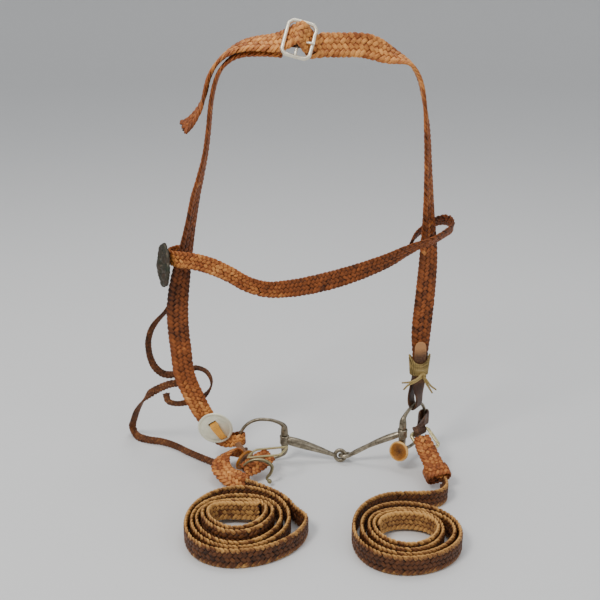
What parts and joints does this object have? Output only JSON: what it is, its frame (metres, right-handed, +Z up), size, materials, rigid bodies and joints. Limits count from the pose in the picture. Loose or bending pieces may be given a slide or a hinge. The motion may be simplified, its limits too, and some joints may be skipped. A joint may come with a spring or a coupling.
{
  "type": "plaited leather snaffle bridle",
  "caption": "Bridle of plaited leather straps with a slipping browband, a jointed snaffle bit with egg-shaped rings and long coiled reins.",
  "frame": {"origin": "on the lower face of the crown strap, where a stand, a peg or a horse's poll carries the bridle", "axes": "+Z up, -Y the side the browband lies on, +X the side whose cheek is bound with twine"},
  "size_m": [0.3588, 0.264, 0.4645],
  "materials": {
    "plaited_leather": "oiled plaited russet leather, worn",
    "dark_leather": "dark oiled strap leather",
    "tan_leather": "pale tan leather",
    "nickel": "nickel silver, softly worn",
    "silver": "engraved silver, dulled",
    "worn_steel": "tarnished steel, rubbed bright on the edges",
    "old_bronze": "dark patinated bronze",
    "twine": "waxed hemp twine"
  },
  "bodies": {
    "headstall": {"right_headstall_strap": "plaited_leather", "left_headstall_strap": "plaited_leather", "crown_buckle_frame": "nickel", "crown_chape": "plaited_leather", "left_bit_loop": "plaited_leather", "left_ring": "worn_steel", "right_ring": "worn_steel", "right_bit_tab": "dark_leather", "twine_binding": "twine", "twine_tail_left": "twine", "twine_tail_right": "twine", "throat_thong": "plaited_leather", "thong_end": "plaited_leather"},
    "crown_tongue": {"crown_buckle_tongue": "nickel"},
    "browband": {"browband_strap": "plaited_leather"},
    "rosette": {"rosette": "old_bronze"},
    "concho": {"left_concho": "silver", "concho_tie": "tan_leather"},
    "left_cannon": {"left_cannon": "worn_steel"},
    "right_cannon": {"right_cannon": "worn_steel"},
    "left_rein": {"left_rein_tie": "dark_leather", "left_rein_loop": "plaited_leather", "left_rein_billet": "plaited_leather", "left_rein_buckle_frame": "nickel", "left_rein_lead": "plaited_leather", "left_rein_coil": "plaited_leather"},
    "right_rein": {"right_rein_loop": "dark_leather", "right_rein_body": "plaited_leather", "right_rein_buckle_frame": "nickel", "right_rein_lead": "plaited_leather", "right_rein_coil": "plaited_leather"},
    "left_rein_tongue": {"left_rein_buckle_tongue": "nickel"},
    "right_rein_tongue": {"right_rein_buckle_tongue": "nickel"},
    "right_keeper": {"right_rein_keeper": "plaited_leather"},
    "left_button": {"left_rein_button": "tan_leather"},
    "right_button": {"right_rein_button": "tan_leather"}
  },
  "joints": [
    {"name": "crown_tongue_lift", "type": "hinge", "parent": "headstall", "child": "crown_tongue", "pos_m": [-0.03119, -0.007, 0.01514], "axis": [-0.2589, -0.3299, -0.9078], "range_deg": [0, 18]},
    {"name": "browband_slide", "type": "slide", "parent": "headstall", "child": "browband", "axis": [0, 0, 1], "range_m": [-0.0025, 0.004]},
    {"name": "rosette_turn", "type": "hinge", "parent": "browband", "child": "rosette", "pos_m": [-0.1684, 0.0046, -0.2065], "axis": [-0.9329, -0.3511, 0.0802], "range_deg": [-20, 20]},
    {"name": "concho_turn", "type": "hinge", "parent": "headstall", "child": "concho", "pos_m": [-0.1219, -0.0134, -0.3862], "axis": [-0.0738, -0.9912, -0.1101], "range_deg": [-8, 8]},
    {"name": "left_cannon_swing", "type": "hinge", "parent": "headstall", "child": "left_cannon", "pos_m": [-0.047, -0.007, -0.4028], "axis": [0, 0, 1], "range_deg": [-8, 4]},
    {"name": "right_cannon_swing", "type": "hinge", "parent": "headstall", "child": "right_cannon", "pos_m": [0.0805, -0.019, -0.3885], "axis": [0, 0, 1], "range_deg": [-4.04, 8.08]},
    {"name": "left_rein_swing", "type": "hinge", "parent": "headstall", "child": "left_rein", "pos_m": [-0.09026, -0.007, -0.4168], "axis": [0, 0, 1], "range_deg": [-5, 5]},
    {"name": "right_rein_swing", "type": "hinge", "parent": "headstall", "child": "right_rein", "pos_m": [0.11, 0.0201, -0.3885], "axis": [0, 0, 1], "range_deg": [-5, 5]},
    {"name": "left_rein_tongue_lift", "type": "hinge", "parent": "left_rein", "child": "left_rein_tongue", "pos_m": [-0.089, -0.0522, -0.4088], "axis": [-0.3367, -0.8533, -0.3982], "range_deg": [-1, 4]},
    {"name": "right_rein_tongue_lift", "type": "hinge", "parent": "right_rein", "child": "right_rein_tongue", "pos_m": [0.10743, -0.00778, -0.38712], "axis": [-0.8746, -0.4564, -0.1635], "range_deg": [0, 15]},
    {"name": "right_keeper_slide", "type": "slide", "parent": "right_rein", "child": "right_keeper", "axis": [-0.2036, 0.8653, 0.4581], "range_m": [-0.002, 0.003]},
    {"name": "left_button_turn", "type": "hinge", "parent": "left_rein", "child": "left_button", "pos_m": [-0.0902, -0.029, -0.4152], "axis": [0.7226, -0.6222, -0.3011], "range_deg": [-20, 20]},
    {"name": "right_button_turn", "type": "hinge", "parent": "headstall", "child": "right_button", "pos_m": [0.0765, -0.0278, -0.4057], "axis": [-0.499, -0.8383, 0.2196], "range_deg": [-20, 20]}
  ],
  "couplings": [
    {"joint": "right_cannon_swing", "follows": "left_cannon_swing", "ratio": -1.01}
  ]
}
